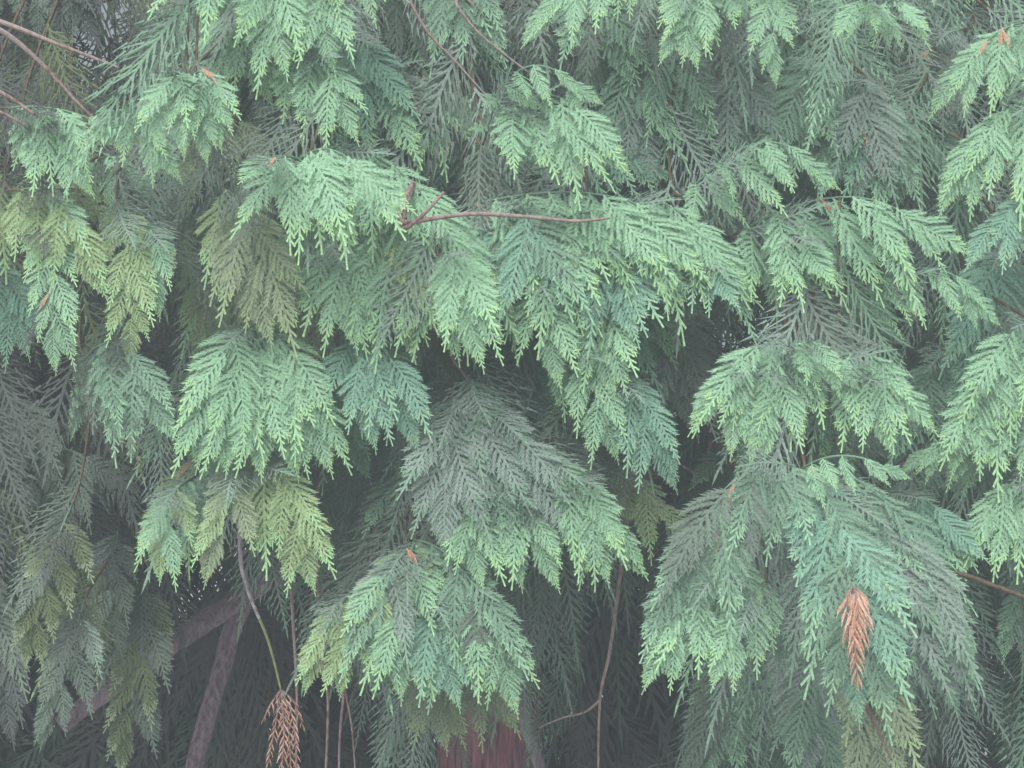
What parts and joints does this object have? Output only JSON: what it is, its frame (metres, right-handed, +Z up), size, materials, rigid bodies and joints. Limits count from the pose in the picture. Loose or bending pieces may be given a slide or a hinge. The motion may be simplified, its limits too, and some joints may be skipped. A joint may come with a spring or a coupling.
{
  "type": "western red cedar tree",
  "caption": "Young evergreen conifer with a straight tapering trunk, flared at the foot, bowed boughs in tiers and flat, fern-like sprays that hang down to form a cone.",
  "frame": {"origin": "middle of the flat cut under the trunk, at ground level", "axes": "+Z up the trunk, -Y towards the side of the crown that the picture shows, +X to its right"},
  "size_m": [3.3103, 3.3229, 6.5017],
  "materials": {
    "bark": "fibrous red-brown bark, furrowed lengthwise, grey on its ridges, dull",
    "limb_bark": "thin grey-brown bark, slightly scaly, red-brown towards the tips, dull",
    "sprays": "flat sprays of overlapping scale leaves, blue-green to grey-green with yellow-green tips, slightly waxy"
  },
  "bodies": {
    "root": {"bough_1a": "limb_bark", "bough_1b": "limb_bark", "bough_1c": "limb_bark", "bough_1d": "limb_bark", "bough_1e": "limb_bark", "bough_1f": "limb_bark", "bough_2a": "limb_bark", "bough_2b": "limb_bark", "bough_2c": "limb_bark", "bough_2d": "limb_bark", "bough_2e": "limb_bark", "bough_2f": "limb_bark", "bough_3a": "limb_bark", "bough_3b": "limb_bark", "bough_3c": "limb_bark", "bough_3d": "limb_bark", "bough_3e": "limb_bark", "bough_3f": "limb_bark", "foliage_1a": "sprays", "foliage_1b": "sprays", "foliage_1c": "sprays", "foliage_1d": "sprays", "foliage_1e": "sprays", "foliage_1f": "sprays", "foliage_2a": "sprays", "foliage_2b": "sprays", "foliage_2c": "sprays", "foliage_2d": "sprays", "foliage_2e": "sprays", "foliage_2f": "sprays", "foliage_3a": "sprays", "foliage_3b": "sprays", "foliage_3c": "sprays", "foliage_3d": "sprays", "foliage_3e": "sprays", "foliage_3f": "sprays", "foliage_4a": "sprays", "foliage_4b": "sprays", "foliage_4c": "sprays", "foliage_4d": "sprays", "foliage_4e": "sprays", "foliage_5a": "sprays", "foliage_5b": "sprays", "foliage_5c": "sprays", "foliage_5d": "sprays", "foliage_5e": "sprays", "foliage_6a": "sprays", "foliage_6b": "sprays", "foliage_6c": "sprays", "foliage_6d": "sprays", "foliage_7a": "sprays", "foliage_7b": "sprays", "foliage_7c": "sprays", "foliage_8a": "sprays", "foliage_8b": "sprays", "foliage_8c": "sprays", "foliage_top": "sprays", "trunk": "bark"}
  },
  "joints": []
}
